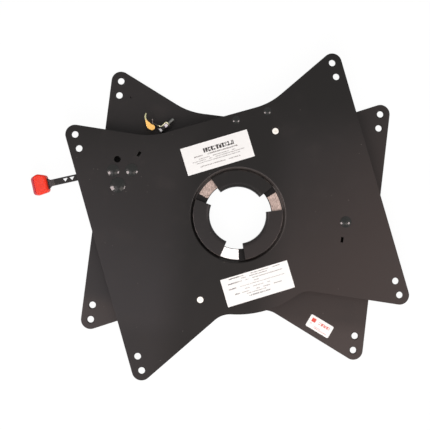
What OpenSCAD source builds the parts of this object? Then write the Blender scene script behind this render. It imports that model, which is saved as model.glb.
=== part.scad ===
// Swivel seat base for a vehicle seat: two pressed steel plates that turn on a rolled
// collar, locked by a side lever. Origin on the turning axis, at the underside of the
// lower plate. X and Y run along the bolt rows of the lower plate, Z is up.

/* [Plates] */
// Spacing of the outer bolt holes across the seat
bolt_x = 404; // [380:1:430]
// Spacing of the outer bolt holes along the seat
bolt_y = 367; // [350:1:390]
// Distance from an outer bolt hole to its inner neighbour
bolt_pair = 22; // [18:1:26]
// Bolt hole diameter
bolt_hole = 10; // [8.5:0.5:12]
// Corner radius of the plates, round the outer bolt holes
corner_r = 14.6; // [12:0.1:18]
// Angle of the slanted edges to the bolt rows
edge_slant = 24.7; // [20:0.1:26]
// Margin of both plates outside the track of the glide posts
waist_margin = 2.2; // [1:0.1:6]
// Radius of the hollow corners at the straight front edge
front_fillet_r = 100; // [60:1:110]
// Radius of the hollow corners at the curved rear edge
rear_fillet_r = 34.5; // [25:0.5:45]
// Thickness of both plates
plate_t = 4; // [3:0.5:5]
// Overall height, from underside to top face
overall_h = 36; // [36:0.5:44]
// Angle that the seat plate is turned from the driving position
turned = 22.9; // [0:0.1:40]

/* [Bearing] */
// Radius of the opening for cables
opening_r = 43; // [38:0.5:45]
// Outside radius of the rolled collar
collar_r = 68; // [66:0.5:70]
// Angle that each of the three collar tabs spans
tab_span = 87; // [70:1:100]
// Inner bend radius of the collar
collar_bend = 2; // [1.5:0.5:4]
// Inner radius of the sunk ring of the seat plate
sunk_inner_r = 51; // [50.5:0.25:51.5]
// Width of the slope between sunk ring and seat plate
sunk_slope = 3; // [2:0.5:5]
// Depth of the sunk ring below the seat plate
sunk_depth = 4.5; // [4.3:0.1:6]
// Outer radius of the raised dish on the lower plate, at its top
dish_r = 117; // [112:0.5:120]
// Lean of the dish wall from upright
dish_lean = 26; // [15:1:28]
// Room between the dish and the seat plate
dish_drop = 10; // [9:0.5:11]
// Running gap between metal and metal
running_gap = 0.3; // [0.2:0.05:0.5]
// Width of the bearing ring
ring_w = 15.5; // [10:0.5:16]

/* [Lock] */
// Overhang of the notched lock ring outside the dish
lock_over = 13; // [11:0.5:15]
// Width of the land of the dish that the lock ring rests on
land_w = 17; // [15:1:20]
// Thickness of the lock ring
lock_t = 7; // [5:0.5:7.5]
// Depth of its notches
notch_depth = 7.5; // [5:0.5:9]
// Side clearance of the tooth in a notch
notch_play = 0.5; // [0.3:0.1:1]
// Angle of the tooth round the axis, in the driving position
tooth_angle = 115; // [112:0.5:118]
// Width of the tooth at its tip
tooth_w = 9; // [7:0.5:11]
// Diameter of the rivets that hold the lock ring
ring_rivet_d = 6; // [5:0.5:7]
// Number of those rivets
ring_rivet_count = 6; // [3:1:8]

/* [Lever] */
// Thickness of the lever
lever_t = 4; // [3:0.5:5]
// Width of the lever strip outside the plates
lever_w = 9.7; // [8:0.1:12]
// Gap between seat plate and lever
lever_drop = 3; // [2.5:0.1:4]
// Length of the lever from its pivot to the bend
lever_reach = 90; // [85:1:100]
// Downward bend of the lever end
lever_bend = 12; // [4:1:18]
// Swing that frees the lock
lever_swing = 8; // [5:0.5:10]
// Pivot shank diameter
pivot_d = 10; // [8:0.5:12]
// Guide shank diameter
guide_d = 8; // [6:0.5:9]
// Radial clearance of the pivot
pivot_play = 0.05; // [0.02:0.01:0.1]
// Length of the grip
grip_l = 27; // [20:0.5:30]
// Width of the grip at its widest
grip_w = 31.8; // [26:0.1:36]
// Thickness of the grip
grip_t = 15; // [12:0.5:18]
// Wire diameter of the return spring
spring_wire = 2; // [1.5:0.1:2.4]
// Whole turns of the return spring
spring_turns = 2; // [1:1:2]

/* [Glides] */
// Room between the lock ring and the glide posts
glide_clear = 1.3; // [0.8:0.1:3]
// Angle of the right glide post round the axis
glide_angle = 50; // [46:0.5:54]
// Diameter of the glide posts
glide_d = 16; // [12:0.5:16]
// Diameter of the glide screws
glide_screw_d = 5; // [4:0.5:6]
// Head diameter of the glide screws
glide_head_d = 9.5; // [8.5:0.5:11]
// Length of the glide screws
glide_screw_l = 20; // [14:1:24]

/* [Catch] */
// Thickness of the catch hook
hook_t = 3; // [2:0.5:3]
// Height of the catch hook above the lower plate
hook_rise = 14; // [12:0.5:15]
// Diameter of the adjuster bolt
adjuster_d = 5; // [4:0.5:6]
// Length of the adjuster bolt under its head
adjuster_l = 24.5; // [22:0.5:28]
// Height of the adjuster bolt above the lower plate
adjuster_rise = 9; // [8:0.5:10]
// Thickness of the catch bracket
bracket_t = 2; // [1.5:0.5:3]
// Wire diameter of the catch spring
catch_wire = 1.8; // [1.2:0.1:2]

/* [Hidden] */
$fn = 96;

// Heights
top_z = overall_h - plate_t;
sunk_z = overall_h - sunk_depth;
tab_top = sunk_z + running_gap + plate_t;
dish_z = top_z - dish_drop;
lever_z = top_z - lever_drop - lever_t;
shoulder_r = collar_r + 1;
bend_out = collar_bend + plate_t;
lock_r = dish_r + lock_over;
glide_track_r = lock_r + glide_clear + glide_d / 2;
waist_r = glide_track_r + glide_d / 2 + waist_margin;

// Places on the seat plate, from the turning axis
pivot_at = (lock_r + 69.2) * [cos(144.5), sin(144.5)];
guide_at = pivot_at + [26.9, -6.95];
post_at = pivot_at + [0.7, -23];
drain_at = pivot_at + [10.85, 14.7];
drain_d = 10;
guide_slot_at = guide_at + [17.2, 20.45];
guide_slot_dir = 43;
stop_at = (lock_r + 33.8) * [cos(19.6), -sin(19.6)];
stop_slot_at = stop_at + [-13, -24.3];
stop_slot_dir = 65;
slot_l = 8;
slot_w = 4;
plugs_at = [[37, waist_r - 10.2], [86.3, waist_r - 10.5]];
plug_hole_d = 7;

// Rivets
head_d = 19;
post_head_d = 23;
stop_head_d = 17;
plug_head_d = 12;
head_rise = 3.2;
post_shank_d = 9;
stop_shank_d = 7;
shank_play = 0.05;
closing_t = 1.5;
closing_w = 2.6;
spacer_d = 22;
washer_d = 20;
washer_t = 1.2;
guide_play = 0.3;
bracket_w = 14;
bracket_end = 3;

// Lever, in its own axes with the pivot as origin
lever_skew = -3.2;
strip_mid = 2.5;
bend_r = 3;
tang_w = 16.6;
tang_l = 17;
neck_l = 8.8;
grip_mid = 4.4;
grip_near_mid = 3.1;
grip_near_in = 3.3;
grip_far_in = 3;
grip_edge_r = 2.6;
grip_end_lean = 6.2;
arrow_w = 7.6;
arrow_h = 5.2;
arrow_at = [-72.8, -62.7];

// Catch group on the lower plate; the wire's path runs from its free end, as places
// along and across the adjuster bolt and heights above it, with the nut as origin
adjuster_at = [-124.8, 123.05];
adjuster_dir = 49;
adjuster_head_back = 9.2;
hex_flats = adjuster_d * 1.6;
hex_d = hex_flats / cos(30);
adjuster_nut_t = adjuster_d * 0.94;
adjuster_head_t = adjuster_d * 0.66;
point_l = 0.8;
ear_w = 8;
ear_over = 1.6;
bracket_foot_w = 12;
bracket_foot_l = 16;
hook_path = [[-156.9, 137.5], [-157.6, 133.9], [-157.7, 131.5], [-156.8, 128.9], [-155.4, 126.5],
             [-154, 124.3], [-152.2, 121.9], [-149.7, 118.3], [-145.3, 117]];
hook_half = [0.7, 1, 1.1, 1.1, 1.2, 1.9, 3.2, 4, 4.3];
hook_post_at = [-149.4, 118.5];
hook_post_d = 6;
wire_path = [[-8.76, 22.19, -1], [-11.46, 18.9, -1.5], [-13.21, 15.9, -2], [-11.87, 14.02, -2],
             [-10.19, 11.78, -1], [-9.7, 8.79, 1.8], [-8.3, 6.3, 5], [-7.14, 3.97, 5.7],
             [-5.77, 3.16, 5.6], [-1.7, 3.55, 5], [3.8, 3.6, 4.7], [3.8, 1.5, 4.4],
             [3.8, -1.2, 4.1], [3.8, -3.5, 2]];

// Points along an arc, round c, from angle a to angle b
function arc(c, r, a, b, n = 8) =
    [for (i = [0:n]) c + r * [cos(a + (b - a) * i / n), sin(a + (b - a) * i / n)]];

// Unit vector at angle a, and a turned copy of point p
function dir(a) = [cos(a), sin(a)];
function turn(p, a) = [p.x * cos(a) - p.y * sin(a), p.x * sin(a) + p.y * cos(a)];

// Closed outline with its corners rounded, drawn inset from the corners given; each
// corner is [x, y, radius]
function corner(p, q, s, inset, step) =
    let (a = [p.x, p.y] - [q.x, q.y], b = [s.x, s.y] - [q.x, q.y], ua = a / norm(a), ub = b / norm(b),
         half = acos(max(-1, min(1, ua * ub))) / 2, mid = (ua + ub) / norm(ua + ub), r = q[2],
         c = [q.x, q.y] + mid * r / sin(half), t0 = [q.x, q.y] + ua * r / tan(half) - c,
         t1 = [q.x, q.y] + ub * r / tan(half) - c, a0 = atan2(t0.y, t0.x), a1 = atan2(t1.y, t1.x),
         sweep = a1 - a0 > 180 ? a1 - a0 - 360 : a1 - a0 < -180 ? a1 - a0 + 360 : a1 - a0)
    r == 0 ? [[q.x, q.y]] : arc(c, r - inset, a0, a0 + sweep, max(1, ceil(abs(sweep) / step)));
function rounded(list, inset = 0, step = 12) =
    let (n = len(list))
    [for (i = [0:n - 1]) each corner(list[(i + n - 1) % n], list[i], list[(i + 1) % n], inset, step)];

// Outline of both plates: four corners, slanted edges, a straight front edge and a rear
// edge that is an arc round the turning axis, with hollow fillets between them
slant_normal = dir(90 + edge_slant);
slant_along = dir(edge_slant);
corner_at = [bolt_x / 2, bolt_y / 2];
slant_dist = slant_normal * corner_at + corner_r;
front_meet = (waist_r - slant_dist * slant_normal.y) / slant_along.y;
front_meet_x = slant_dist * slant_normal.x + front_meet * slant_along.x;
front_fillet_x = front_meet_x - front_fillet_r * tan(edge_slant / 2);
rear_along = sqrt(pow(waist_r + rear_fillet_r, 2) - pow(slant_dist + rear_fillet_r, 2));
rear_fillet = slant_normal * (slant_dist + rear_fillet_r) + slant_along * rear_along;
rear_fillet_dir = atan2(rear_fillet.y, rear_fillet.x);
outline_front = concat(
    arc(corner_at, corner_r, 0, 90 + edge_slant, 16),
    arc([front_fillet_x, waist_r + front_fillet_r], front_fillet_r, edge_slant - 90, -90, 8));
outline_rear = concat(
    arc(corner_at, corner_r, 0, 90 + edge_slant, 16),
    arc(rear_fillet, rear_fillet_r, edge_slant - 90, rear_fillet_dir - 180, 8),
    arc([0, 0], waist_r, rear_fillet_dir, 90, 8));
function mirrored(list, sx, sy) =
    [for (i = [0:len(list) - 1]) let (p = list[sx * sy > 0 ? i : len(list) - 1 - i]) [sx * p.x, sy * p.y]];
function without_repeats(list) =
    [for (i = [0:len(list) - 1]) if (norm(list[i] - list[(i + 1) % len(list)]) > 0.001) list[i]];
plate_outline = without_repeats(concat(outline_front, mirrored(outline_front, -1, 1),
    mirrored(outline_rear, -1, -1), mirrored(outline_rear, 1, -1)));

// Places of the eight bolt holes
bolts_at = [for (sx = [-1, 1], sy = [-1, 1], pair = [0, bolt_pair])
    [sx * bolt_x / 2, sy * (bolt_y / 2 - pair)]];

// Small blind hole beside a corner of the lower plate
mark_at = [18.1 - bolt_x / 2, bolt_y / 2 - 22.7];
mark_d = 3.4;
mark_depth = 2.2;

module plate_blank() {
    linear_extrude(plate_t) polygon(plate_outline);
}

module at_each(places) {
    for (p = places) translate([p.x, p.y, 0]) children();
}

module turned_with_seat() {
    rotate(turned) children();
}

// Lower plate: flat flange, raised dish with a sloping wall, and a collar in three tabs
// that stands up through the seat plate and is rolled over its sunk ring
module base_plate() {
    wall_w = plate_t / cos(dish_lean);
    foot_r = dish_r + (dish_z - plate_t) * tan(dish_lean);
    under_r = foot_r - wall_w + plate_t * tan(dish_lean);
    web_r = sunk_inner_r + 2;
    rim_r = foot_r + 8;
    roll_r = opening_r + bend_out;
    outside = rounded([[rim_r, 0, 0], [rim_r, plate_t, 0], [foot_r, plate_t, 4], [dish_r, dish_z, 6],
        [roll_r, dish_z, 0], [roll_r, dish_z - plate_t, 0],
        [dish_r - wall_w + plate_t * tan(dish_lean), dish_z - plate_t, 3], [under_r, 0, 6]], 0, 20);
    collar = concat(
        arc([roll_r, dish_z + collar_bend], collar_bend, 270, 180, 5),
        arc([roll_r, tab_top - bend_out], collar_bend, 180, 90, 5),
        [[collar_r, tab_top - plate_t]],
        arc([collar_r - 1.2, tab_top - 1.2], 1.2, 0, 90, 2),
        arc([roll_r, tab_top - bend_out], bend_out, 90, 180, 5),
        arc([roll_r, dish_z + collar_bend], bend_out, 180, 270, 5));
    split = search([[roll_r, dish_z]], outside)[0];
    profile = concat([for (i = [0:split - 1]) outside[i]], collar,
        [for (i = [split + 2:len(outside) - 1]) outside[i]]);
    between_tabs = [[opening_r - 9, dish_z - plate_t - 1], [web_r, dish_z - plate_t - 1], [web_r, dish_z + 3],
        [collar_r + 4, dish_z + 3], [collar_r + 4, tab_top + 1], [opening_r - 9, tab_top + 1]];
    color([0.2, 0.19, 0.19]) {
        difference() {
            plate_blank();
            translate([0, 0, -1]) cylinder(h = plate_t + 2, r = rim_r - 1);
            at_each(bolts_at) {
                translate([0, 0, -1]) cylinder(h = plate_t + 2, d = bolt_hole);
                translate([0, 0, plate_t - 1.2]) cylinder(h = 1.3, d1 = bolt_hole, d2 = bolt_hole + 3);
            }
            translate([mark_at.x, mark_at.y, plate_t - mark_depth]) cylinder(h = mark_depth + 1, d = mark_d);
            translate([mark_at.x, mark_at.y, plate_t - mark_depth - mark_d / 4])
                cylinder(h = mark_d / 4 + 0.01, d1 = 0.2, d2 = mark_d);
        }
        difference() {
            rotate_extrude() polygon(profile);
            at_each(ring_rivets_at()) translate([0, 0, dish_z - plate_t - 1])
                cylinder(h = plate_t + 2, d = ring_rivet_d + 2 * shank_play);
            for (k = [0:2]) rotate(90 + 120 * k + tab_span / 2)
                rotate_extrude(angle = 120 - tab_span) polygon(between_tabs);
        }
    }
}

// Slippery ring between the dish and the sunk ring of the seat plate
module bearing_ring() {
    r0 = sunk_inner_r + 2.5;
    color([0.85, 0.84, 0.78]) translate([0, 0, dish_z]) difference() {
        cylinder(h = sunk_z - plate_t - running_gap - dish_z, r = r0 + ring_w);
        translate([0, 0, -1]) cylinder(h = plate_t * 3, r = r0);
    }
}

// Lock ring: one notch for the driving position and one for the seat turned round
module lock_ring() {
    half = tooth_w / 2 + notch_play;
    color([0.3, 0.29, 0.29]) translate([0, 0, dish_z]) difference() {
        cylinder(h = lock_t, r = lock_r);
        translate([0, 0, -1]) cylinder(h = lock_t + 2, r = dish_r - land_w);
        for (a = [tooth_angle, tooth_angle + 180]) rotate(a) translate([0, 0, -1]) linear_extrude(lock_t + 2)
            polygon([[lock_r - notch_depth, -half], [lock_r + 2, -half - 1], [lock_r + 2, half + 1],
                [lock_r - notch_depth, half]]);
        at_each(ring_rivets_at()) translate([0, 0, -1])
            cylinder(h = lock_t + 2, d = ring_rivet_d + 2 * shank_play);
        at_each(ring_rivets_at()) translate([0, 0, lock_t - 1.5])
            cylinder(h = 1.6, d1 = ring_rivet_d + 0.4, d2 = ring_rivet_d + 3.6);
    }
}

function ring_rivets_at() =
    [for (k = [0:ring_rivet_count - 1]) (dish_r - 10) * dir(tooth_angle + 30 + 360 * k / ring_rivet_count)];

// Catch group on the lower plate: a bracket with an adjuster bolt, a hook on a post, and
// the wire spring between them
module along_adjuster(back = 0) {
    translate([adjuster_at.x, adjuster_at.y, plate_t + adjuster_rise]) rotate(adjuster_dir)
        translate([-back, 0, 0]) rotate([0, 90, 0]) children();
}

module catch_bracket() {
    ear_top = adjuster_rise + adjuster_d / 2 + ear_over;
    color([0.12, 0.12, 0.12]) difference() {
        translate([adjuster_at.x, adjuster_at.y, plate_t]) rotate(adjuster_dir)
            translate([-adjuster_head_back, 0, 0]) rotate([90, 0, 0]) {
                linear_extrude(ear_w, center = true)
                    polygon([[0, 0], [bracket_t, 0], [bracket_t, ear_top], [0, ear_top]]);
                linear_extrude(bracket_foot_w, center = true)
                    polygon(rounded([[0, 0, 0], [bracket_foot_l, 0, 0], [bracket_foot_l, bracket_t, 0],
                        [0, bracket_t, bracket_t - 0.5]]));
            }
        along_adjuster(adjuster_head_back + 1) cylinder(h = bracket_t + 2, d = adjuster_d + 2 * shank_play);
    }
}

module adjuster_bolt() {
    color([0.7, 0.71, 0.7]) {
        along_adjuster(adjuster_head_back + adjuster_head_t) rotate(30)
            cylinder(h = adjuster_head_t, d = hex_d, $fn = 6);
        along_adjuster(adjuster_head_back + adjuster_head_t / 2)
            cylinder(h = adjuster_l + adjuster_head_t / 2 - point_l, d = adjuster_d);
        along_adjuster(adjuster_head_back - adjuster_l + point_l)
            cylinder(h = point_l, d1 = adjuster_d, d2 = adjuster_d - 2 * point_l);
    }
}

module adjuster_nut() {
    color([0.85, 0.84, 0.86]) along_adjuster(adjuster_nut_t / 2) difference() {
        rotate(30) cylinder(h = adjuster_nut_t, d = hex_d, $fn = 6);
        translate([0, 0, -1]) cylinder(h = adjuster_nut_t + 2, d = adjuster_d + 2 * shank_play);
    }
}

// Rubber bush between bracket and nut, which keeps the catch from rattling
module adjuster_bush() {
    bush_l = adjuster_head_back - bracket_t - adjuster_nut_t / 2;
    color([0.1, 0.1, 0.1]) along_adjuster(adjuster_head_back - bracket_t) difference() {
        cylinder(h = bush_l, d = adjuster_d + 2.6);
        translate([0, 0, -1]) cylinder(h = bush_l + 2, d = adjuster_d + 2 * shank_play);
    }
}

// Unit direction of a path at point i, and the outline of a blade of changing width
function heading(path, i) =
    let (d = path[min(i + 1, len(path) - 1)] - path[max(i - 1, 0)]) d / norm(d);
function side(path, half, i, s) = path[i] + s * half[i] * [-heading(path, i).y, heading(path, i).x];
function blade(path, half) =
    let (n = len(path) - 1, h = heading(path, n), a = atan2(h.y, h.x))
    concat([for (i = [0:n - 1]) side(path, half, i, -1)], arc(path[n], half[n], a - 90, a + 90, 12),
        [for (i = [n - 1:-1:0]) side(path, half, i, 1)]);

module catch_hook() {
    color([0.92, 0.72, 0.35]) translate([0, 0, plate_t + hook_rise]) difference() {
        linear_extrude(hook_t) polygon(blade(hook_path, hook_half));
        translate([hook_post_at.x, hook_post_at.y, -1])
            cylinder(h = hook_t - 1, d = hook_post_d / 2 + 2 * shank_play);
    }
}

// Post that carries the hook, with a spigot that enters it
module hook_post() {
    color([0.78, 0.62, 0.3]) translate([hook_post_at.x, hook_post_at.y, plate_t]) {
        cylinder(h = hook_rise, d = hook_post_d);
        cylinder(h = hook_rise + hook_t - 2.2, d = hook_post_d / 2);
    }
}

// Closed solid through a stack of rings that have the same number of points
module loft(rings) {
    n = len(rings);
    m = len(rings[0]);
    sides = [for (i = [0:n - 2], k = [0:m - 1]) let (a = i * m + k, b = i * m + (k + 1) % m)
        each [[a, b, b + m], [a, b + m, a + m]]];
    polyhedron([for (ring = rings) each ring],
        concat([[for (k = [m - 1:-1:0]) k]], [[for (k = [0:m - 1]) (n - 1) * m + k]], sides));
}

// Round wire swept along a path
function smooth(path) = concat([path[0]],
    [for (i = [0:len(path) - 2])
        each [0.75 * path[i] + 0.25 * path[i + 1], 0.25 * path[i] + 0.75 * path[i + 1]]],
    [path[len(path) - 1]]);
module wire(path, d, sides = 8) {
    n = len(path);
    loft([for (i = [0:n - 1])
        let (h = path[min(i + 1, n - 1)] - path[max(i - 1, 0)], a = cross(h, [0, 0, 1]), b = cross(a, h))
        [for (k = [0:sides - 1]) let (t = 360 * k / sides)
            path[i] + d / 2 * (cos(t) * a / norm(a) + sin(t) * b / norm(b))]]);
}

// Spring wire that starts beside the hook post, runs over the ear of the bracket and
// hooks over the adjuster bolt
module catch_spring() {
    path = [for (p = wire_path) let (q = adjuster_at + turn([p.x, p.y], adjuster_dir))
        [q.x, q.y, plate_t + adjuster_rise + p.z]];
    color([0.8, 0.82, 0.6]) wire(smooth(smooth(path)), catch_wire);
}

module lock_ring_rivets() {
    color([0.7, 0.7, 0.7]) at_each(ring_rivets_at()) translate([0, 0, dish_z - plate_t]) {
        translate([0, 0, -2]) cylinder(h = 2, d = ring_rivet_d + 4);
        cylinder(h = plate_t + lock_t - 1.5, d = ring_rivet_d);
        translate([0, 0, plate_t + lock_t - 1.5]) cylinder(h = 1.5, d1 = ring_rivet_d, d2 = ring_rivet_d + 3);
    }
}

// Seat plate: the same outline, with a ring sunk round the collar
module top_plate() {
    slope_turn = plate_t * tan(atan2(sunk_depth, sunk_slope) / 2);
    slope_out = shoulder_r + sunk_slope;
    join_r = slope_out + 8;
    sunk = rounded([[join_r, overall_h, 0], [slope_out, overall_h, 2], [shoulder_r, sunk_z, 1.2],
        [sunk_inner_r, sunk_z, 0.6], [sunk_inner_r, sunk_z - plate_t, 0.6],
        [shoulder_r + slope_turn, sunk_z - plate_t, 3], [slope_out + slope_turn, top_z, 1],
        [join_r, top_z, 0]], 0, 20);
    color([0.23, 0.22, 0.22]) turned_with_seat() {
        translate([0, 0, top_z]) difference() {
            plate_blank();
            translate([0, 0, -1]) cylinder(h = plate_t + 2, r = join_r - 1);
            through(bolts_at, bolt_hole);
            through([pivot_at], pivot_d + 2 * shank_play);
            through([guide_at], guide_d + 2 * shank_play);
            through([post_at], post_shank_d + 2 * shank_play);
            through([stop_at], stop_shank_d + 2 * shank_play);
            through([drain_at], drain_d);
            through(plugs_at, plug_hole_d);
            slot(guide_slot_at, guide_slot_dir);
            slot(stop_slot_at, stop_slot_dir);
            through(glides_at, glide_screw_d + 0.5);
            at_each(glides_at) translate([0, 0, plate_t - countersink_t - 0.1])
                cylinder(h = countersink_t + 0.2, d1 = glide_screw_d + 0.4, d2 = glide_head_d + 0.6);
        }
        rotate_extrude() polygon(sunk);
    }
}

module through(places, d) {
    at_each(places) translate([0, 0, -1]) cylinder(h = plate_t + 2, d = d);
}

module slot(place, angle) {
    translate([place.x, place.y, -1]) rotate(angle) linear_extrude(plate_t + 2)
        square([slot_l, slot_w], center = true);
}

// Domed rivet head on the seat plate, with its shank going down to depth z
module rivet(place, head, shank, z) {
    cap_rise = head_rise - 0.6;
    cap_r = (pow(head / 2, 2) + pow(cap_rise, 2)) / (2 * cap_rise);
    translate([place.x, place.y, 0]) {
        translate([0, 0, overall_h]) cylinder(h = 0.6, d = head);
        translate([0, 0, overall_h + 0.6]) intersection() {
            translate([0, 0, cap_rise - cap_r]) sphere(cap_r);
            cylinder(h = cap_rise + 1, d = head);
        }
        translate([0, 0, z]) cylinder(h = overall_h - z, d = shank);
    }
}

// Closing head of a rivet, with its top at height z
module closing(place, shank, z) {
    translate([place.x, place.y, z - closing_t]) cylinder(h = closing_t, d = shank + 2 * closing_w);
}

module ring_at(place, inner, outer, z, h) {
    translate([place.x, place.y, z]) difference() {
        cylinder(h = h, d = outer);
        translate([0, 0, -1]) cylinder(h = h + 2, d = inner);
    }
}

module lever_pivot() {
    head_top = lever_z - washer_t - 2 * pivot_play;
    color([0.1, 0.1, 0.1]) turned_with_seat() {
        rivet(pivot_at, head_d, pivot_d, head_top - closing_t);
        closing(pivot_at, pivot_d, head_top);
    }
}

module pivot_spacer() {
    color([0.7, 0.7, 0.7]) turned_with_seat()
        ring_at(pivot_at, pivot_d + 2 * shank_play, spacer_d, lever_z + lever_t + pivot_play,
            lever_drop - pivot_play);
}

module pivot_washer() {
    color([0.7, 0.7, 0.7]) turned_with_seat()
        ring_at(pivot_at, pivot_d + 2 * shank_play, washer_d, lever_z - washer_t - pivot_play, washer_t);
}

module guide_rivet() {
    color([0.1, 0.1, 0.1]) turned_with_seat() {
        rivet(guide_at, head_d, guide_d, lever_z - guide_play - closing_t);
        closing(guide_at, guide_d, lever_z - guide_play);
    }
}

// Strip riveted under the seat plate, with a slot in line with the one of the plate
module strip_bracket(rivet_at, shank, slot_at, angle) {
    strip_t = lever_drop - guide_play;
    reach = slot_at - rivet_at;
    far = norm(reach) + slot_l / 2;
    translate([0, 0, top_z - strip_t]) difference() {
        translate([rivet_at.x, rivet_at.y, 0]) rotate(atan2(reach.y, reach.x)) linear_extrude(strip_t)
            polygon(concat(arc([0, 0], bracket_w / 2, 90, 270, 24),
                [[far, -bracket_w / 2], [far + bracket_end, 2 - bracket_w / 2],
                [far + bracket_end, bracket_w / 2 - 2], [far, bracket_w / 2]]));
        translate([rivet_at.x, rivet_at.y, -1]) cylinder(h = strip_t + 2, d = shank + 2 * shank_play);
        slot(slot_at, angle);
    }
}

module guide_bracket() {
    color([0.15, 0.15, 0.15]) turned_with_seat()
        strip_bracket(guide_at, guide_d, guide_slot_at, guide_slot_dir);
}

module stop_bracket() {
    color([0.15, 0.15, 0.15]) turned_with_seat()
        strip_bracket(stop_at, stop_shank_d, stop_slot_at, stop_slot_dir);
}

module stop_rivet() {
    under = top_z - lever_drop + guide_play;
    color([0.1, 0.1, 0.1]) turned_with_seat() {
        rivet(stop_at, stop_head_d, stop_shank_d, under - closing_t);
        closing(stop_at, stop_shank_d, under);
    }
}

// Post that carries the return spring of the lever
module spring_post() {
    under = spring_in_z - spring_wire / 2 - 0.4;
    color([0.1, 0.1, 0.1]) turned_with_seat() {
        rivet(post_at, post_head_d, post_shank_d, under - closing_t);
        closing(post_at, post_shank_d, under);
    }
}

// Return spring: one leg pushes the lever strip, the coil sits round its post and the
// other leg rests against the end of the guide bracket
coil_r = post_shank_d / 2 + spring_wire / 2 + 0.6;
push_at = on_lever([-33, strip_mid - lever_w / 2]) - [0, spring_wire / 2 + 0.3];
push_reach = push_at - post_at;
leg_in = atan2(push_reach.y, push_reach.x) + acos(coil_r / norm(push_reach));
rest_reach = guide_at - post_at;
rest_r = bracket_w / 2 + spring_wire / 2 + 0.3;
rest_dir = atan2(rest_reach.y, rest_reach.x) - asin((rest_r - coil_r) / norm(rest_reach));
leg_out = rest_dir - 90 + 360 * spring_turns;
leg_out_turned = leg_out + (leg_out < leg_in + 360 * (spring_turns - 0.5) ? 360 : 0);
coil_pitch = spring_wire + 0.1;
spring_out_z = top_z - spring_wire / 2 - 0.3;
spring_in_z = spring_out_z - coil_pitch * (leg_out_turned - leg_in) / 360;
function coil_point(a) = let (p = post_at + coil_r * dir(a))
    [p.x, p.y, spring_in_z + coil_pitch * (a - leg_in) / 360];
module return_spring() {
    steps = 24 * (spring_turns + 1);
    leg_end = post_at + coil_r * dir(leg_out_turned) + (norm(rest_reach) - 2) * dir(leg_out_turned + 90);
    color([0.75, 0.75, 0.72]) turned_with_seat() wire(concat([[push_at.x, push_at.y, spring_in_z]],
        [for (i = [0:steps]) coil_point(leg_in + (leg_out_turned - leg_in) * i / steps)],
        [[leg_end.x, leg_end.y, spring_out_z]]), spring_wire);
}

module hole_plugs() {
    cap_rise = 2;
    cap_r = (pow(plug_head_d / 2, 2) + pow(cap_rise, 2)) / (2 * cap_rise);
    color([0.12, 0.12, 0.12]) turned_with_seat() at_each(plugs_at) {
        translate([0, 0, overall_h]) intersection() {
            translate([0, 0, cap_rise - cap_r]) sphere(cap_r);
            cylinder(h = cap_rise + 1, d = plug_head_d);
        }
        translate([0, 0, top_z - 2]) cylinder(h = plate_t + 2, d = plug_hole_d - 2 * shank_play);
        translate([0, 0, top_z - 2]) cylinder(h = 2, d1 = plug_hole_d - 1, d2 = plug_hole_d + 1.2);
    }
}

// Glide posts: they run on the flange of the lower plate and take the tipping load
glides_at = [glide_track_r * dir(glide_angle), glide_track_r * dir(glide_angle + 180)];
countersink_t = (glide_head_d - glide_screw_d) / 2;
socket_flats = 3.4;
socket_depth = 1.8;
module glide_post(place) {
    foot_z = plate_t + running_gap;
    color([0.88, 0.87, 0.82]) turned_with_seat() translate([place.x, place.y, foot_z]) difference() {
        union() {
            cylinder(h = 1.5, d1 = glide_d - 3, d2 = glide_d);
            translate([0, 0, 1.5]) cylinder(h = top_z - foot_z - 1.5, d = glide_d);
        }
        translate([0, 0, overall_h - glide_screw_l - foot_z - 1])
            cylinder(h = glide_screw_l + 2, d = glide_screw_d + 2 * shank_play);
    }
}

module glide_post_right() {
    glide_post(glides_at[0]);
}

module glide_post_left() {
    glide_post(glides_at[1]);
}

module glide_screws() {
    color([0.85, 0.84, 0.82]) turned_with_seat() at_each(glides_at) difference() {
        union() {
            translate([0, 0, overall_h - glide_screw_l]) cylinder(h = glide_screw_l - 0.1, d = glide_screw_d);
            translate([0, 0, overall_h - countersink_t])
                cylinder(h = countersink_t, d1 = glide_screw_d, d2 = glide_head_d);
        }
        translate([0, 0, overall_h - socket_depth])
            cylinder(h = socket_depth + 1, d = socket_flats / cos(30), $fn = 6);
    }
}

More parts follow.
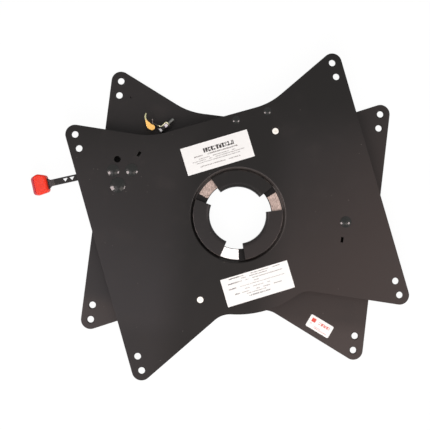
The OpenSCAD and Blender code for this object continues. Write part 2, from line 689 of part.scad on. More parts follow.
// Release lever: a strip that leaves the plates at the side, swings on its pivot, is
// guided by a curved slot and ends in the tooth that drops into the lock ring
function on_lever(p) = pivot_at + turn(p, lever_skew);
function with_r(p, r) = [p.x, p.y, r];
function past(t) = -lever_reach - bend_r * sin(lever_bend) - t * cos(lever_bend);
function curved_slot(r, a, b, half) = without_repeats(concat(arc([0, 0], r + half, a, b, 3),
    arc(r * dir(b), half, b, b + 180, 12), arc([0, 0], r - half, b, a, 3),
    arc(r * dir(a), half, a + 180, a + 360, 12)));
module release_lever() {
    low = strip_mid - lever_w / 2;
    high = strip_mid + lever_w / 2;
    tang_low = strip_mid - tang_w / 2;
    tang_high = strip_mid + tang_w / 2;
    out = dir(tooth_angle);
    across = dir(tooth_angle - 90);
    tip = (lock_r + running_gap) * out;
    root = (lock_r + 13) * out;
    reach = guide_at - pivot_at;
    guide_dir = atan2(reach.y, reach.x);
    outline = rounded([
        with_r(on_lever([past(neck_l + tang_l + 1.5), tang_low]), 2),
        with_r(on_lever([past(neck_l), tang_low]), 3),
        with_r(on_lever([past(4), low]), 3), with_r(on_lever([-27, low]), 15),
        with_r(pivot_at + [-15, -10.5], 8), with_r(pivot_at + [11, -11.5], 6),
        with_r(guide_at + [-10.4, -12.7], 4), with_r(guide_at + [9.6, -13.7], 8),
        with_r(guide_at + [23.6, -1.7], 12), with_r(root - (tooth_w / 2 + 1) * across, 3),
        with_r(tip - tooth_w / 2 * across, 1), with_r(tip + tooth_w / 2 * across, 1),
        with_r(root + (tooth_w / 2 + 1) * across + 9 * out, 4), with_r(root - 4 * across + 12 * out, 6),
        with_r(guide_at + [20.6, 19.3], 20), with_r(on_lever([-10, high]), 30),
        with_r(on_lever([past(4), high]), 3), with_r(on_lever([past(neck_l), tang_high]), 3),
        with_r(on_lever([past(neck_l + tang_l + 1.5), tang_high]), 2)]);
    bend_at = [-lever_reach, -bend_r];
    tang_along = (neck_l + tang_l) * [-cos(lever_bend), -sin(lever_bend)];
    side_view = concat([[lever_reach * 2, 0], [lever_reach * 2, lever_t]],
        arc(bend_at, bend_r + lever_t, 90, 90 + lever_bend, 3),
        [bend_at + (bend_r + lever_t) * dir(90 + lever_bend) + tang_along],
        [bend_at + bend_r * dir(90 + lever_bend) + tang_along], arc(bend_at, bend_r, 90 + lever_bend, 90, 3));
    color([0.13, 0.13, 0.13]) turned_with_seat() difference() {
        intersection() {
            translate([0, 0, lever_z - grip_t]) linear_extrude(2 * grip_t) polygon(outline);
            translate([pivot_at.x, pivot_at.y, lever_z]) rotate(lever_skew) rotate([90, 0, 0])
                linear_extrude(4 * tang_w, center = true) polygon(side_view);
        }
        translate([pivot_at.x, pivot_at.y, lever_z - 1]) {
            cylinder(h = lever_t + 2, d = pivot_d + 2 * pivot_play);
            linear_extrude(lever_t + 2) polygon(curved_slot(norm(reach), guide_dir - lever_swing, guide_dir,
                guide_d / 2 + guide_play));
        }
        for (u = arrow_at) translate([0, 0, lever_z - 1]) linear_extrude(lever_t + 2)
            polygon([on_lever([u - arrow_w / 2, strip_mid + arrow_h / 2]),
                on_lever([u + arrow_w / 2, strip_mid + arrow_h / 2]),
                on_lever([u - 0.3, strip_mid - arrow_h / 2])]);
    }
}

// Places things at the end of the bend, in line with the tang
module past_bend() {
    translate([pivot_at.x, pivot_at.y, lever_z]) rotate(lever_skew) translate([-lever_reach, 0, -bend_r])
        rotate([0, -lever_bend, 0]) translate([0, 0, bend_r]) children();
}

// Moulded grip: widest near its outer end, with a sloping end face, over the lever's tang
function grip_ring(z, inset, end) =
    let (half = grip_w / 2, near = half - grip_near_in, far = half - grip_far_in, round_r = grip_edge_r + 2)
    [for (p = rounded([[-neck_l, grip_near_mid - near, round_r], [-neck_l, grip_near_mid + near, round_r],
        [end + 8, grip_mid + half, round_r + 4], [end, grip_mid + far, round_r],
        [end, grip_mid - far, round_r], [end + 8, grip_mid - half, round_r + 4]], inset)) [p.x, p.y, z]];
module lever_grip() {
    low = lever_t / 2 - grip_t / 2;
    high = lever_t / 2 + grip_t / 2;
    end = -neck_l - grip_l;
    edge = [for (a = [0:15:90]) grip_edge_r * [1 - cos(a), sin(a)]];
    play = 0.1;
    color([0.9, 0.16, 0.1]) turned_with_seat() past_bend() difference() {
        loft(concat(
            [for (i = [6:-1:0]) grip_ring(low + grip_edge_r - edge[i].y, edge[i].x, end)],
            [for (i = [0:6]) grip_ring(high - grip_edge_r + edge[i].y, edge[i].x, end + grip_end_lean)]));
        translate([-neck_l - tang_l - play, strip_mid - tang_w / 2 - play, -play])
            cube([tang_l + 5, tang_w + 2 * play, lever_t + 2 * play]);
    }
}

base_plate();
bearing_ring();
lock_ring();
lock_ring_rivets();
catch_bracket();
catch_hook();
hook_post();
catch_spring();
adjuster_bolt();
adjuster_nut();
adjuster_bush();
top_plate();
lever_pivot();
pivot_spacer();
pivot_washer();
guide_rivet();
guide_bracket();
spring_post();
return_spring();
stop_rivet();
stop_bracket();
hole_plugs();
glide_post_left();
glide_post_right();
glide_screws();
release_lever();
lever_grip();
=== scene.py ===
import math

import bmesh
import bpy
from mathutils import Matrix, Quaternion, Vector


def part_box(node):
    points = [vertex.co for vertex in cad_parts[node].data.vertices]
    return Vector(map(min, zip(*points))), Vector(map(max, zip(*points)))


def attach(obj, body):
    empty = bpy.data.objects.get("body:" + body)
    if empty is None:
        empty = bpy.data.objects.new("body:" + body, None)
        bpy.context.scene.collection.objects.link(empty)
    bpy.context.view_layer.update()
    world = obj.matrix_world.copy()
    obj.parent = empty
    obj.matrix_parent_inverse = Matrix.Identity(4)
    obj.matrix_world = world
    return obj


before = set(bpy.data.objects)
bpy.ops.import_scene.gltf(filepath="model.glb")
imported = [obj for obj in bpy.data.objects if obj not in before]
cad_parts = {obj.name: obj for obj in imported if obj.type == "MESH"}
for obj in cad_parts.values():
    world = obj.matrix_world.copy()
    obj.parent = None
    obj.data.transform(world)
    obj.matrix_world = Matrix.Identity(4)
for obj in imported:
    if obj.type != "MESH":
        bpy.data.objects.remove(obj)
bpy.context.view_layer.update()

# Places on the part are in millimetres from the turning axis and the underside. The front is
# toward +Y. The seat plate is shown turned from the lower plate, and what lies on it is placed
# in its own axes and turned with it.
MM = 0.001
MM_PER_METRE = 1000.0
SEAT_TURN = math.radians(22.9)
SEAT_OVER_BEARING = 8.8
SEAT_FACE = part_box("bearing_ring")[1].z / MM + SEAT_OVER_BEARING
FLANGE_FACE = 4.0
TABS = [math.radians(a) for a in (90, 210, 330)]
LEVER_PIVOT = (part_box("pivot_washer")[0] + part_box("pivot_washer")[1]) / (2 * MM)
LEVER_SKEW = math.radians(3.2)
LEVER_TURN = SEAT_TURN - LEVER_SKEW

# A label lies just clear of the paint, so that no two faces share a plane.
LABEL_LIFT = 0.01
LABEL_THICK = 0.14


def laid_on(face, x, y, turn):
    """Matrix that lays a label on a face at some height, turned by degrees."""
    place = Matrix.Translation((x * MM, y * MM, (face + LABEL_LIFT) * MM))
    return place @ Matrix.Rotation(math.radians(turn), 4, "Z")


def on_seat_plate(x, y, turn):
    """Matrix that lays a label on the seat plate, in the plate's own axes."""
    return Matrix.Rotation(SEAT_TURN, 4, "Z") @ laid_on(SEAT_FACE, x, y, turn)


# Shader expressions


class Signal:
    """A shader socket that Python's operators work on; each operator adds one Math node."""

    def __init__(self, shading, socket):
        self.shading = shading
        self.socket = socket

    def math(self, operation, *values):
        sockets = dict(enumerate(values))
        return self.shading.node("ShaderNodeMath", {"operation": operation}, sockets)

    def __add__(self, other):
        return self.math("ADD", self, other)

    def __radd__(self, other):
        return self.math("ADD", other, self)

    def __sub__(self, other):
        return self.math("SUBTRACT", self, other)

    def __rsub__(self, other):
        return self.math("SUBTRACT", other, self)

    def __mul__(self, other):
        return self.math("MULTIPLY", self, other)

    def __rmul__(self, other):
        return self.math("MULTIPLY", other, self)

    def __truediv__(self, other):
        return self.math("DIVIDE", self, other)

    def __pow__(self, other):
        return self.math("POWER", self, other)

    def __gt__(self, other):
        return self.math("GREATER_THAN", self, other)

    def __lt__(self, other):
        return self.math("LESS_THAN", self, other)

    def size(self):
        """The value without its sign."""
        return (self ** 2.0) ** 0.5

    def or_more(self, other):
        return self.math("MAXIMUM", self, other)

    def within(self, middle, half):
        return self.math("COMPARE", self, middle, half)

    def steps(self):
        return self.math("FLOOR", self)

    def share(self):
        return self.math("FRACT", self)


class Shading:
    """The node tree of one material, or of the world."""

    def __init__(self, owner):
        owner.use_nodes = True
        self.owner = owner
        self.tree = owner.node_tree

    def node(self, kind, settings=None, sockets=None, out=0):
        """Adds a node, sets it up, fills its sockets with values or links, and returns one of
        its outputs."""
        made = self.tree.nodes.new(kind)
        for key, value in (settings or {}).items():
            setattr(made, key, value)
        for key, value in (sockets or {}).items():
            self.fill(self.find(made.inputs, key), value)
        return Signal(self, self.find(made.outputs, out))

    def find(self, sockets, key):
        if isinstance(key, int):
            return sockets[key]
        return next(s for s in sockets if key in (s.identifier, s.name))

    def fill(self, socket, value):
        if isinstance(value, Signal):
            self.tree.links.new(value.socket, socket)
        elif isinstance(value, tuple) and len(value) == 3 and socket.type == "RGBA":
            socket.default_value = (*value, 1.0)
        else:
            socket.default_value = value

    def vector(self, operation, *values, out=0):
        sockets = dict(enumerate(values))
        return self.node("ShaderNodeVectorMath", {"operation": operation}, sockets, out)

    def place(self):
        """Coordinates of the piece itself, in metres."""
        return self.node("ShaderNodeTexCoord", out="Object")

    def along(self):
        """The three coordinates as separate signals, in millimetres."""
        apart = self.node("ShaderNodeSeparateXYZ", {}, {0: self.place()})
        outputs = apart.socket.node.outputs
        return [Signal(self, output) * MM_PER_METRE for output in outputs]

    def from_axis(self):
        """How far a place lies from the turning axis, and its height, in millimetres."""
        x, y, z = self.along()
        return (x * x + y * y) ** 0.5, z

    def lever_axes(self):
        """Places along and across the lever, in millimetres from its pivot."""
        x, y, _ = self.along()
        x, y = x - LEVER_PIVOT.x, y - LEVER_PIVOT.y
        c, s = math.cos(LEVER_TURN), math.sin(LEVER_TURN)
        return x * c + y * s, y * c - x * s

    def stretch(self, factors):
        """Coordinates scaled apart, for grain that runs one way."""
        return self.vector("MULTIPLY", self.place(), factors)

    def toward(self, direction):
        """How squarely a place lies in a direction round the turning axis."""
        flat = self.vector("MULTIPLY", self.place(), (1.0, 1.0, 0.0))
        return self.vector("DOT_PRODUCT", self.vector("NORMALIZE", flat), direction, out="Value")

    def cloud(self, size_mm, detail=3.0, rough=0.5, where=None, shift=0.0):
        """Soft noise from 0 to 1 whose blotches are about size_mm across; where takes the place
        of the piece's own coordinates, and shift gives another pattern."""
        at = where or self.place()
        if shift:
            at = self.vector("ADD", at, (shift, shift * 0.7, shift * 0.4))
        return self.node("ShaderNodeTexNoise", {}, {
            "Vector": at, "Scale": MM_PER_METRE / size_mm, "Detail": detail, "Roughness": rough})

    def specks(self, spacing_mm, radius):
        """Small dots, one in some of the cells of a grid; radius is a share of a cell."""
        dots = self.node("ShaderNodeTexVoronoi", {"feature": "F1"}, {
            "Vector": self.place(), "Scale": MM_PER_METRE / spacing_mm, "Randomness": 1.0},
            out="Distance")
        return self.soft(dots, radius, radius * 0.6)

    def soft(self, signal, start, end):
        """Smooth step from 0 at start to 1 at end; start may be above end."""
        low, high = (start, end) if start < end else (end, start)
        to = (0.0, 1.0) if start < end else (1.0, 0.0)
        return self.node("ShaderNodeMapRange", {"interpolation_type": "SMOOTHSTEP"}, {
            "Value": signal, "From Min": low, "From Max": high, "To Min": to[0], "To Max": to[1]})

    def blend(self, factor, first, second):
        """Colour that goes from first to second."""
        return self.node("ShaderNodeMix", {"data_type": "RGBA"}, {
            "Factor_Float": factor, "A_Color": first, "B_Color": second}, out="Result_Color")

    def bump(self, height, strength, depth_mm, edge_mm=0.0):
        """Relief from a height signal; edge_mm also rounds the sharp edges of the mesh."""
        sockets = {"Height": height, "Strength": strength, "Distance": depth_mm * MM}
        if edge_mm:
            rounding = {"Radius": edge_mm * MM}
            sockets["Normal"] = self.node("ShaderNodeBevel", {"samples": 6}, rounding)
        return self.node("ShaderNodeBump", {}, sockets)


class Finish(Shading):
    """A material of one Principled shader. Sockets are filled by name."""

    def __init__(self, name, **sockets):
        super().__init__(bpy.data.materials.new(name))
        self.shader = self.tree.nodes["Principled BSDF"]
        self.wear(**sockets)

    def wear(self, **sockets):
        for key, value in sockets.items():
            self.fill(self.shader.inputs[key.replace("_", " ")], value)
        return self

    def worn(self, socket):
        """What already feeds a socket of the shader."""
        return Signal(self, self.shader.inputs[socket].links[0].from_socket)

    def tint(self, mask, colour):
        """Takes the base colour to another colour where the mask is 1."""
        return self.wear(Base_Color=self.blend(mask, self.worn("Base Color"), colour))


# Finishes

# Colours of the coat and of what lies on it. The paler and the browner colour are painted light
# and a painted sheen, and the last one is painted shade that darkens the coat.
COAT_DARK = (0.0125, 0.0112, 0.0112)
COAT_LIGHT = (0.0185, 0.0158, 0.0160)
COAT_PAINTED_LIGHT = (0.0250, 0.0225, 0.0240)
COAT_PAINTED_SHEEN = (0.0360, 0.0255, 0.0230)
SMUDGE = (0.026, 0.0215, 0.0205)
DUST = (0.30, 0.27, 0.24)
SHADE = (0.0022, 0.0020, 0.0014)

# Where the coat changes, and where painted light, a painted sheen and painted shade lie on it.
# Each pair gives, in millimetres, where a change starts and where it is full, here and below. The
# middle of the seat plate is measured from a line at SHADE_X.
SHEEN_FROM_LEFT = (-40.0, 260.0)
PAINTED_LIGHT_TOWARD_REAR = (20.0, 200.0)
SHADE_X = -12.0
SHADE_SIDES = (40.0, 105.0)
SHADE_FRONT = (70.0, 170.0)
REAR_TIP_Y = (-165.0, -205.0)
REAR_TIP_X = (0.0, -60.0)


def powder_coat(name, edge_mm=0.5, shaded=False):
    """Black semi-matt powder coat: faint orange peel, handling marks and dust. Painted light makes
    it paler toward the left rear, and a painted sheen makes it lighter and browner toward the
    right rear. shaded adds painted shade to the middle, the front and the rear left tip, as on the
    seat plate."""
    f = Finish(name, IOR=1.5, Specular_IOR_Level=0.2)
    x, y, _ = f.along()
    clouds = f.cloud(120, 2.0)
    smudge = f.soft(f.cloud(34, 4.0, 0.6, shift=3.1), 0.5, 0.75)
    dust = f.specks(13, 0.04) * f.soft(f.cloud(60, shift=1.7), 0.42, 0.55)
    # Painted sheen: the coat turns lighter and browner toward the right rear.
    right_sheen = f.soft(x - y * 0.75, *SHEEN_FROM_LEFT)
    # Painted light: the coat turns paler toward the left rear.
    rear_light = f.soft(y * -1.0 - x * 0.35, *PAINTED_LIGHT_TOWARD_REAR)
    coat_and_light = f.blend(clouds, COAT_DARK, COAT_LIGHT)
    coat_and_light = f.blend(rear_light * 0.8, coat_and_light, COAT_PAINTED_LIGHT)
    coat_and_light = f.blend(right_sheen * 0.85, coat_and_light, COAT_PAINTED_SHEEN)
    coat_and_light = f.blend(smudge * 0.3, coat_and_light, SMUDGE)
    if shaded:
        # Painted shade on the middle, the front and the rear left tip of the seat plate.
        middle = 1.0 - f.soft((x - SHADE_X).size(), *SHADE_SIDES)
        front = f.soft(y - 0.2 * x, *SHADE_FRONT)
        rear_tip = f.soft(y, *REAR_TIP_Y) * f.soft(x, *REAR_TIP_X)
        coat_and_light = f.blend(middle.or_more(front) * 0.70, coat_and_light, SHADE)
        coat_and_light = f.blend(rear_tip * 0.32, coat_and_light, SHADE)
    return f.wear(
        Base_Color=f.blend(dust * 0.5, coat_and_light, DUST),
        Roughness=0.46 + 0.1 * smudge - 0.05 * clouds,
        Normal=f.bump(f.cloud(1.3, 2.0), 0.16, 0.05, edge_mm))


# Radii and heights that tell the parts of the seat plate's sunk ring apart. Where the collar's
# tabs kept the paint off it, BARE_R and BARE_HALF_ANGLE each say where the edge of the bare
# stretch starts and where the steel is fully bare.
RING_INNER_R = 51.9
RING_OUTER_R = 68.9
RING_TOP_Z = 31.0
SLOPE_FOOT_Z = 33.0
SLOPE_R = (67.8, 73.0)
BARE_R = (67.2, 66.5)
BARE_HALF_ANGLE = (45.4, 44.6)
LIT_STEEL_Y = (-30.0, -45.0)
DARK_STEEL = (0.19, 0.14, 0.125)
PALE_STEEL = (0.56, 0.45, 0.40)
LIT_STEEL = (0.97, 0.96, 0.95)
SUNK_SHADE = (0.0015, 0.0013, 0.0013)
SLOPE_LIGHT = (0.062, 0.053, 0.050)


def bare_ring(coat):
    """On the seat plate, the sunken ring is bare steel in three stretches. Elsewhere painted shade
    makes it deep black, painted light makes the slope round it paler on the side that the light
    reaches, and a painted reflection makes the bare steel toward the rear near white."""
    radius, z = coat.from_axis()
    ragged = (coat.cloud(3.2, 5.0, 0.75) - 0.5) * 0.05
    ends = [math.cos(math.radians(a)) for a in BARE_HALF_ANGLE]
    stretches = []
    for tab in TABS:
        middle = tab + SEAT_TURN
        reach = coat.toward((math.cos(middle), math.sin(middle), 0.0)) + ragged
        stretches.append(coat.soft(reach, *ends))
    under_tabs = stretches[0].or_more(stretches[1]).or_more(stretches[2])
    bare = under_tabs * coat.soft(radius + ragged * 9.0, *BARE_R)
    bare = bare * (z > RING_TOP_Z) * (radius > RING_INNER_R)
    marks = coat.soft(coat.cloud(6, 6.0, 0.8, coat.stretch((1.0, 2.6, 1.0)), 5.3), 0.58, 0.63)
    bare = bare * (1.0 - 0.9 * marks)
    grain = coat.soft(coat.cloud(1.3, 4.0, 0.7, coat.stretch((2.4, 0.3, 1.0))), 0.3, 0.7)
    steel = coat.blend(grain, DARK_STEEL, PALE_STEEL)
    # Painted reflection: the bare steel toward the rear is painted near white.
    steel = coat.blend(coat.soft(coat.along()[1], *LIT_STEEL_Y), steel, LIT_STEEL)
    lit_side = coat.soft(coat.toward((0.6, 0.8, 0.0)), -0.6, 0.4)
    # Painted shade: the ring away from the bare stretches is painted deep black.
    sunk_shade = (radius < RING_OUTER_R - 1.0 * lit_side) * (z < SLOPE_FOOT_Z)
    # Painted light on the slope round the ring, on the side that the light reaches.
    slope = (radius > SLOPE_R[0]) * (radius < SLOPE_R[1]) * lit_side
    coat_and_light = coat.blend(sunk_shade, coat.worn("Base Color"), SUNK_SHADE)
    coat_and_light = coat.blend(slope * 0.8, coat_and_light, SLOPE_LIGHT)
    painted = 1.0 - bare
    painted_roughness = coat.worn("Roughness") * painted + sunk_shade * 0.3 * painted
    return coat.wear(
        Base_Color=coat.blend(bare, coat_and_light, steel),
        Metallic=bare * 0.9,
        Roughness=painted_roughness + bare * (0.34 + 0.16 * grain))


# The rolled tops of the collar's tabs and the flange, on the lower plate
TAB_TOP_R = 69.0
TAB_TOP_Z = 33.0
TAB_RIM_R = (66.6, 67.4)
FRONT_TAB_Y = (15.0, 45.0)
REAR_CORNERS_Y = (-138.0, -165.0)
FLANGE_Z = (8.0, 4.5)
CORNER_LIGHT = (0.072, 0.056, 0.052)
RIM_HIGHLIGHT = (0.16, 0.115, 0.10)


def collar_light_and_shade(coat):
    """On the lower plate, painted shade darkens the front tab, painted light makes the rear
    corners of the flange paler, and a brownish painted highlight runs along the outer edges of the
    rolled tabs."""
    y = coat.along()[1]
    radius, z = coat.from_axis()
    tab_tops = (radius < TAB_TOP_R) * (z > TAB_TOP_Z)
    front_tab = coat.soft(y, *FRONT_TAB_Y) * tab_tops
    rear_corners = coat.soft(y, *REAR_CORNERS_Y) * coat.soft(z, *FLANGE_Z)
    rim = coat.soft(radius, *TAB_RIM_R) * tab_tops * coat.soft(coat.cloud(11, 3.0), 0.42, 0.6)
    # Painted shade on the front tab.
    coat.tint(front_tab * 0.6, SHADE)
    # Painted light on the rear corners of the flange.
    coat.tint(rear_corners * 0.35, CORNER_LIGHT)
    # Painted highlight along the outer edges of the tabs.
    return coat.tint(rim * 0.28, RIM_HIGHLIGHT)


# Places along the lever, from its pivot
BEND_AT = -90.5
BEND_HALF = 1.0
GRIP_END_SHADE = (-118.6, -119.8)
BEND_HIGHLIGHT = (0.14, 0.12, 0.10)


def bend_highlight(coat):
    """On the lever, a painted highlight lies across the bend before the grip."""
    along, _ = coat.lever_axes()
    band = along.within(BEND_AT, BEND_HALF) * coat.soft(coat.cloud(5, 3.0), 0.35, 0.55)
    return coat.tint(band * 0.5, BEND_HIGHLIGHT)


def gloss_enamel(name):
    """Rivet heads: thick gloss black, a little uneven from the peening."""
    f = Finish(name, IOR=1.5, Specular_IOR_Level=0.1)
    f.wear(Coat_Weight=1.0, Coat_Roughness=0.07, Coat_IOR=1.36)
    lumps = f.cloud(8, 2.0, 0.5, shift=0.9)
    patches = f.soft(f.cloud(4, 4.0), 0.55, 0.75)
    return f.wear(
        Base_Color=f.blend(patches, (0.003, 0.004, 0.003), (0.012, 0.012, 0.011)),
        Roughness=0.25 + 0.15 * f.cloud(2.5, 3.0),
        Normal=f.bump(lumps, 0.8, 1.6, 0.3))


def zinc(name, dark, light, rough=0.3, edge_mm=0.2):
    """Plated steel: cloudy passivation over a fine drawn grain."""
    f = Finish(name, Metallic=1.0)
    grain = f.cloud(0.7, 3.0, 0.7)
    return f.wear(
        Base_Color=f.blend(f.cloud(4, 4.0, 0.6), dark, light),
        Roughness=rough + 0.2 * grain,
        Normal=f.bump(grain, 0.12, 0.05, edge_mm))


def moulded(name, dark, light, rough, grain_mm=0.5, edge_mm=0.3):
    """Moulded plastic or rubber with a fine spark-eroded texture."""
    f = Finish(name, IOR=1.48)
    return f.wear(
        Base_Color=f.blend(f.cloud(9, 3.0), dark, light),
        Roughness=rough + 0.12 * f.cloud(3, 3.0),
        Normal=f.bump(f.cloud(grain_mm, 2.0), 0.2, 0.04, edge_mm))


coat_lower = collar_light_and_shade(powder_coat("coat_lower_plate"))
coat_seat = bare_ring(powder_coat("coat_seat_plate", shaded=True))
coat_lever = bend_highlight(powder_coat("coat_lever", edge_mm=0.35))
coat_inner = powder_coat("coat_inner_steel", edge_mm=0.35)
enamel = gloss_enamel("rivet_enamel")
bright = zinc("bright_zinc", (0.46, 0.43, 0.46), (0.72, 0.66, 0.70))
screw_plate = zinc("screw_zinc", (0.72, 0.68, 0.62), (0.92, 0.90, 0.86), rough=0.24)

# Painted light makes the head of the adjuster bolt lighter than its thread, the tail of the catch
# hook is a pale green, and painted shade makes the far end of the catch wire dark.
BOLT_HEAD_LIGHT_X = (-128.5, -130.5)
HOOK_TAIL_Y = (124.0, 130.0)
WIRE_SHADE_X = (-136.5, -139.5)
dull = zinc("dull_zinc", (0.085, 0.09, 0.088), (0.17, 0.18, 0.172), rough=0.42)
dull.tint(dull.soft(dull.along()[0], *BOLT_HEAD_LIGHT_X), (0.42, 0.42, 0.43))
yellow = zinc("yellow_zinc", (0.58, 0.33, 0.08), (0.84, 0.54, 0.19), rough=0.34, edge_mm=0.5)
yellow.tint(yellow.soft(yellow.along()[1], *HOOK_TAIL_Y), (0.40, 0.40, 0.24))
wire = zinc("drawn_wire", (0.34, 0.35, 0.23), (0.50, 0.51, 0.36), rough=0.34, edge_mm=0.0)
# Painted shade on the far end of the wire.
wire.tint(wire.soft(wire.along()[0], *WIRE_SHADE_X), (0.11, 0.10, 0.095))

ring_plastic = moulded("ring_plastic", (0.62, 0.60, 0.54), (0.70, 0.68, 0.62), rough=0.4)
nylon = moulded("glide_nylon", (0.70, 0.69, 0.63), (0.78, 0.77, 0.72), rough=0.38)
rubber = moulded("bush_rubber", (0.012, 0.012, 0.012), (0.03, 0.03, 0.03), rough=0.7)

# The grip's end, which turns away from the light, has painted shade: a deeper red.
grip_red = moulded("grip_red", (0.84, 0.026, 0.009), (0.92, 0.046, 0.017),
                   rough=0.36, grain_mm=0.8, edge_mm=0.0)
grip_red.wear(Specular_IOR_Level=0.15)
grip_red.tint(grip_red.soft(grip_red.lever_axes()[0], *GRIP_END_SHADE), (0.60, 0.002, 0.018))

FINISHES = {
    coat_lower: ["base_plate"],
    coat_seat: ["top_plate"],
    coat_lever: ["release_lever"],
    coat_inner: ["lock_ring", "guide_bracket", "stop_bracket", "catch_bracket"],
    enamel: ["lever_pivot", "guide_rivet", "spring_post", "stop_rivet", "hole_plugs"],
    bright: ["lock_ring_rivets", "adjuster_nut", "pivot_spacer", "pivot_washer"],
    dull: ["adjuster_bolt"],
    screw_plate: ["glide_screws"],
    yellow: ["catch_hook", "hook_post"],
    wire: ["catch_spring", "return_spring"],
    ring_plastic: ["bearing_ring"],
    nylon: ["glide_post_left", "glide_post_right"],
    rubber: ["adjuster_bush"],
    grip_red: ["lever_grip"],
}
for finish, names in FINISHES.items():
    for name in names:
        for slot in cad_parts[name].material_slots:
            slot.material = finish.owner

# Labels

PAPER = (0.97, 0.965, 0.955)
BLACK_INK = (0.03, 0.025, 0.025)
GREY_INK = (0.16, 0.13, 0.125)
RED_INK = (0.75, 0.07, 0.04)

# Rows of print: middle y, height, left, right, strength, ink, width of a letter
FRONT_ROWS = [
    (8.9, 6.6, -31, 28, 1.0, BLACK_INK, 4.3),
    (2.5, 2.0, -36, 36, 0.95, GREY_INK, 1.5),
    (-1.8, 1.4, -30, 31, 0.75, GREY_INK, 1.1),
    (-4.7, 1.4, -41, 41, 0.75, GREY_INK, 1.1),
    (-7.8, 1.4, -35, 33, 0.75, GREY_INK, 1.1),
    (-13.6, 1.6, -31, 32, 0.85, GREY_INK, 1.2),
]
REAR_ROWS = [
    (18.3, 1.5, -40, 40, 0.8, GREY_INK, 1.2), (18.3, 1.9, -40, -24, 0.85, BLACK_INK, 1.6),
    (15.0, 1.4, -21, 22, 0.85, GREY_INK, 1.2),
    (11.1, 1.4, -43, 42, 0.8, GREY_INK, 1.2), (11.1, 1.9, -43, -29, 0.85, BLACK_INK, 1.6),
    (7.0, 1.3, -4, 4, 0.85, GREY_INK, 1.2),
    (3.3, 1.2, -44, 43, 0.65, GREY_INK, 1.2), (3.3, 1.9, -44, -33, 0.85, BLACK_INK, 1.6),
    (-1.4, 1.3, -20.5, 19.5, 0.75, GREY_INK, 1.2),
    (-6.0, 1.4, -37, 36, 0.85, GREY_INK, 1.2), (-6.0, 1.9, -37, -25, 0.85, BLACK_INK, 1.6),
    (-9.4, 1.3, -20, 11, 0.85, GREY_INK, 1.2),
    (-13.4, 1.9, -17.5, 16, 0.9, BLACK_INK, 1.6),
]
SMALL_ROWS = [
    (-2.6, 1.0, -16, -6, 0.7, RED_INK, 0.9),
    (-4.6, 1.0, -10, 3, 0.6, RED_INK, 0.9),
    (-6.6, 1.1, -8, 15, 0.7, RED_INK, 1.0),
    (3.4, 4.2, -3, 15.5, 0.85, RED_INK, 4.4),
]
# Filled boxes: middle y, height, left, right, ink
SMALL_BOXES = [(3.5, 6.0, -15.5, -9, RED_INK)]

# How the print is broken up: the gap of each letter, the letters of a word, the shares of the
# words and strokes that are left out, and the strokes across and down a letter. The seeds keep
# the chances of rows and strokes apart.
LETTER_GAP = 0.16
WORD_LETTERS = 4.6
WORDS_OUT = 0.12
STROKES_OUT = 0.26
STROKES_ACROSS = 3.5
STROKES_DOWN = 3.0
ROW_SEED, ACROSS_SEED, DOWN_SEED = 7.3, 17.0, 3.1


def printed_label(name, rows, boxes=()):
    """Paper label with rows of print that can't be read, and filled boxes."""
    f = Finish(name, IOR=1.45, Roughness=0.42)
    x, y, _ = f.along()

    def box(middle, height, left, right):
        return y.within(middle, height / 2) * x.within((left + right) / 2, (right - left) / 2)

    def chance(place):
        return f.node("ShaderNodeTexWhiteNoise", {"noise_dimensions": "1D"}, {"W": place})

    colour = f.blend(f.cloud(25, 2.0), PAPER, tuple(0.96 * c for c in PAPER))
    for number, (middle, height, left, right, strength, ink, letter) in enumerate(rows):
        letters = (x / letter).share() > LETTER_GAP
        words = chance((x / (letter * WORD_LETTERS) + ROW_SEED * number).steps()) > WORDS_OUT
        across = (x * STROKES_ACROSS / letter).steps()
        down = ((y - middle) * STROKES_DOWN / height + 0.5).steps()
        strokes = chance(across * ACROSS_SEED + down * DOWN_SEED) > STROKES_OUT
        row = box(middle, height, left, right) * letters * words * strokes
        colour = f.blend(row * strength, colour, ink)
    for *place, ink in boxes:
        colour = f.blend(box(*place), colour, ink)
    return f.wear(Base_Color=colour, Normal=f.bump(f.cloud(1.5, 3.0), 0.08, 0.05))


def sheet(name, width, height, corner, finish, matrix):
    """Label sheet with rounded corners and softened edges, lying on its underside."""
    mesh = bmesh.new()
    rim = []
    corner_points = 5
    step = 90 / (corner_points - 1)
    for sx, sy, start in ((1, 1, 0), (-1, 1, 90), (-1, -1, 180), (1, -1, 270)):
        for k in range(corner_points):
            a = math.radians(start + step * k)
            rim.append(mesh.verts.new((
                sx * (width / 2 - corner) * MM + corner * MM * math.cos(a),
                sy * (height / 2 - corner) * MM + corner * MM * math.sin(a), 0.0)))
    face = mesh.faces.new(rim)
    top = bmesh.ops.extrude_face_region(mesh, geom=[face])
    raised = [v for v in top["geom"] if isinstance(v, bmesh.types.BMVert)]
    bmesh.ops.translate(mesh, verts=raised, vec=(0, 0, LABEL_THICK * MM))
    edges = [e for e in mesh.edges if all(v in raised for v in e.verts)]
    softening = LABEL_THICK * 0.3 * MM
    bmesh.ops.bevel(mesh, geom=edges, offset=softening, segments=2, affect="EDGES")
    bmesh.ops.recalc_face_normals(mesh, faces=mesh.faces)
    data = bpy.data.meshes.new(name)
    mesh.to_mesh(data)
    mesh.free()
    data.materials.append(finish.owner)
    made = bpy.data.objects.new(name, data)
    bpy.context.scene.collection.objects.link(made)
    made.matrix_world = matrix
    return made


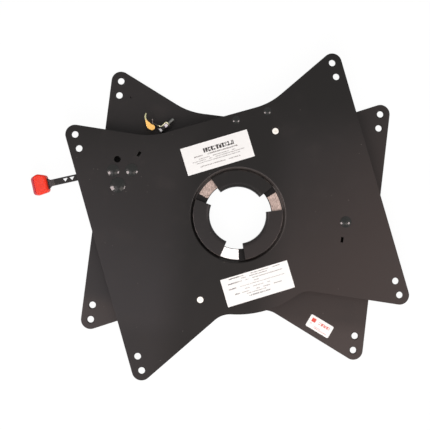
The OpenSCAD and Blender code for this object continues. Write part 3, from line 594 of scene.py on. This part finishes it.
# Width, height and corner radius of the labels
LARGE_LABEL = (105, 42.4, 0.5)
SMALL_LABEL = (40, 20, 2.0)
label_front = sheet("label_front", *LARGE_LABEL,
                    printed_label("label_front_print", FRONT_ROWS), on_seat_plate(-3.8, 99.1, 0.9))
label_rear = sheet("label_rear", *LARGE_LABEL,
                   printed_label("label_rear_print", REAR_ROWS), on_seat_plate(-0.1, -107.5, 0.64))
label_small = sheet("label_small", *SMALL_LABEL,
                    printed_label("label_small_print", SMALL_ROWS, SMALL_BOXES),
                    laid_on(FLANGE_FACE, 146.3, -153.1, -24.07))
for label in (label_front, label_rear):
    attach(label, "top")
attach(label_small, "base")

# Floor, light and camera

# The floor lies a little under the part, in metres. GLOW_SHARE of what is seen of it is its own
# light. ROOM_LIGHT is the share of the surroundings' brightness that lights the part.
FLOOR_HALF = 6.0
FLOOR_DROP = 0.0003
FLOOR_GLOW = 1.03
GLOW_SHARE = 0.93
ROOM_LIGHT = 0.5

floor_mesh = bpy.data.meshes.new("floor")
corners = [(x * FLOOR_HALF, y * FLOOR_HALF, 0) for x, y in ((-1, -1), (1, -1), (1, 1), (-1, 1))]
floor_mesh.from_pydata(corners, [], [(0, 1, 2, 3)])
floor = bpy.data.objects.new("floor", floor_mesh)
floor.location = (0, 0, -FLOOR_DROP)
bpy.context.scene.collection.objects.link(floor)


def seen_directly(shading):
    """1 for the rays that look straight, in a mirror or through glass at the surroundings."""
    path = shading.node("ShaderNodeLightPath", out="Is Camera Ray")
    outputs = path.socket.node.outputs
    mirrored = Signal(shading, outputs["Is Glossy Ray"])
    through = Signal(shading, outputs["Is Transmission Ray"])
    return path.or_more(mirrored).or_more(through)


# The camera sees the floor nearly white, and it still keeps the shadow.
pale_floor = Shading(bpy.data.materials.new("pale_floor"))
pale_floor.tree.nodes.clear()
lit = pale_floor.node("ShaderNodeBsdfDiffuse", {}, {"Color": (0.8, 0.8, 0.8)})
white = pale_floor.node("ShaderNodeEmission", {}, {
    "Color": (1.0, 1.0, 1.0), "Strength": FLOOR_GLOW})
glow = seen_directly(pale_floor) * GLOW_SHARE
mixed = pale_floor.node("ShaderNodeMixShader", {}, {0: glow, 1: lit, 2: white})
surface = pale_floor.tree.nodes.new("ShaderNodeOutputMaterial")
pale_floor.fill(surface.inputs["Surface"], mixed)
floor_mesh.materials.append(pale_floor.owner)

world = bpy.data.worlds.new("studio")
bpy.context.scene.world = world
room = Shading(world)
around = room.tree.nodes["Background"]
room.fill(around.inputs["Color"], (1.0, 0.985, 0.975))
room.fill(around.inputs["Strength"], ROOM_LIGHT + (1.0 - ROOM_LIGHT) * seen_directly(room))


def lamp(name, azimuth, zenith, distance, size, watts, colour, seen_by=("glossy", "diffuse")):
    """Soft square lamp aimed at the turning axis; seen_by names the kinds of light it gives."""
    data = bpy.data.lights.new(name, "AREA")
    data.shape = "SQUARE"
    data.size = size
    data.energy = watts
    data.color = colour
    made = bpy.data.objects.new(name, data)
    a, z = math.radians(azimuth), math.radians(zenith)
    back = Vector((math.sin(z) * math.cos(a), math.sin(z) * math.sin(a), math.cos(z)))
    made.location = back * distance
    made.rotation_mode = "QUATERNION"
    made.rotation_quaternion = back.to_track_quat("Z", "Y")
    made.visible_camera = False
    made.visible_glossy = "glossy" in seen_by
    made.visible_diffuse = "diffuse" in seen_by
    bpy.context.scene.collection.objects.link(made)


# The key and the fill light the paint from the rear. The two low lamps are there for the
# highlights on the rivet heads. The sheen lamps warm the right side a little.
lamp("key", 270, 34, 1.8, 0.9, 9.0, (1.0, 0.96, 0.94), seen_by=("diffuse",))
lamp("low_left", 206, 46, 1.6, 0.6, 20.0, (1.0, 0.85, 0.84), seen_by=("glossy",))
lamp("low_right", 350, 46, 1.6, 0.6, 17.0, (1.0, 0.85, 0.84), seen_by=("glossy",))
lamp("fill", 280, 50, 1.6, 0.6, 7.0, (1.0, 0.95, 0.93), seen_by=("diffuse",))
lamp("sheen_right", 318, 26, 1.9, 0.8, 4.0, (1.0, 0.86, 0.80))
lamp("sheen_left", 232, 26, 1.9, 0.8, 2.5, (1.0, 0.95, 0.97))

# The camera looks down from about 1.7 m, a few degrees off plumb. The turn is a rotation
# vector, in radians, and the lens and the sensor are in millimetres.
CAMERA_AT = (-0.06258, -0.05622, 1.68495)
CAMERA_TURN = Vector((0.05086, -0.04976, 0.12165))
CAMERA_LENS = 91.7
CAMERA_SENSOR = 36.0
CAMERA_SHIFT = (-0.0814, -0.0471)

camera_data = bpy.data.cameras.new("camera")
camera_data.sensor_width = CAMERA_SENSOR
camera_data.lens = CAMERA_LENS
camera_data.shift_x, camera_data.shift_y = CAMERA_SHIFT
camera = bpy.data.objects.new("camera", camera_data)
camera.location = CAMERA_AT
camera.rotation_mode = "QUATERNION"
camera.rotation_quaternion = Quaternion(CAMERA_TURN.normalized(), CAMERA_TURN.length)
bpy.context.scene.collection.objects.link(camera)
bpy.context.scene.camera = camera
bpy.context.scene.view_settings.view_transform = "Standard"

bpy.context.view_layer.update()
